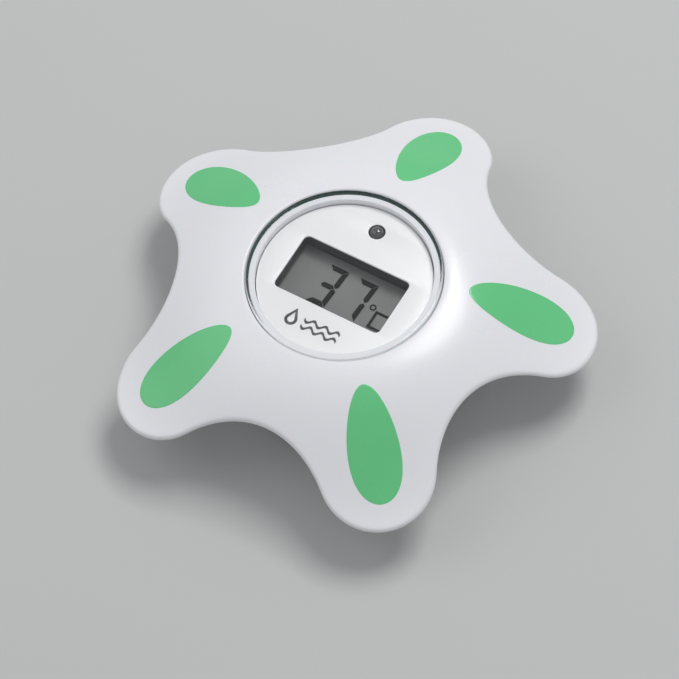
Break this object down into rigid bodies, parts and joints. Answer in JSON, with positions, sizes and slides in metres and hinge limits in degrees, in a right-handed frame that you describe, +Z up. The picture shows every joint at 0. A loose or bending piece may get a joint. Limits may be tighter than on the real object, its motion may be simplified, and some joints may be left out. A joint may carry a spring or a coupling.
{
  "type": "floating bath thermometer",
  "caption": "Star-shaped floating water thermometer with a digital display under a clear round window, green petal inlays and a screw battery cap underneath.",
  "frame": {"origin": "centre of the flat foot ring under the hull, on the window's axis", "axes": "+Z up through the window; +Y towards the top of the display, along one arm of the star; the reader stands at -Y"},
  "size_m": [0.11, 0.106, 0.0304],
  "materials": {
    "shell_white": "glossy white moulded plastic",
    "petal_green": "satin mint green plastic inlay",
    "clear_lens": "clear polished acrylic",
    "dial_white": "smooth satin white",
    "print_grey": "matt printed ink",
    "frame_dark": "black moulded matt",
    "lcd_film": "grey polarising film",
    "lcd_glass": "thin display glass",
    "lcd_ink": "dark display segments",
    "elastomer": "striped conductive elastomer",
    "board": "green solder mask",
    "epoxy_black": "glossy black resin",
    "component": "small ceramic parts",
    "steel": "plated steel",
    "led_lens": "glossy smoky resin",
    "contact_brass": "sprung gilt brass",
    "seal_black": "black rubber",
    "seal_green": "dark green silicone",
    "seal_clear": "translucent silicone",
    "plug_white": "soft white silicone",
    "wire_yellow": "thin insulated wire",
    "wire_blue": "insulated wire",
    "wire_red": "insulated wire",
    "wire_black": "insulated wire"
  },
  "bodies": {
    "hull": {"top_shell": "shell_white", "bottom_shell": "shell_white", "petal_1": "petal_green", "petal_2": "petal_green", "petal_3": "petal_green", "petal_4": "petal_green", "petal_5": "petal_green", "lens": "clear_lens", "lens_seal": "seal_green", "hull_gasket": "seal_clear", "face_plate": "dial_white", "dial_print": "print_grey", "lcd_frame": "frame_dark", "lcd_front_polariser": "lcd_film", "lcd_front_glass": "lcd_glass", "lcd_segments": "lcd_ink", "lcd_rear_glass": "lcd_glass", "lcd_reflector": "lcd_film", "zebra_strips": "elastomer", "circuit_board": "board", "chip_blob": "epoxy_black", "smd_parts": "component", "crystal": "steel", "led": "led_lens", "board_screws": "steel", "frame_screws": "steel", "case_screws": "steel", "screw_plugs": "plug_white", "cell_contact_negative": "contact_brass", "cell_contact_positive": "contact_brass", "probe_cap": "steel", "probe_seal": "seal_black", "thermistor": "epoxy_black", "thermistor_wires": "wire_yellow", "water_contacts": "contact_brass", "contact_seals": "seal_black", "contact_wires": "wire_blue", "battery_wire_red": "wire_red", "battery_wire_black": "wire_black"},
    "cell": {"coin_cell": "steel"},
    "cap": {"battery_cap": "shell_white", "cap_o_ring": "seal_black"}
  },
  "joints": [
    {"name": "cap_lift", "type": "slide", "parent": "hull", "child": "cell", "axis": [0, 0, -1], "range_m": [0, 0.01]},
    {"name": "cap_turn", "type": "hinge", "parent": "cell", "child": "cap", "pos_m": [0, 0, 0], "axis": [0, 0, -1], "range_deg": [0, 1440]}
  ],
  "couplings": [
    {"joint": "cap_lift", "follows": "cap_turn", "m_per_rad": 0.00039789}
  ]
}
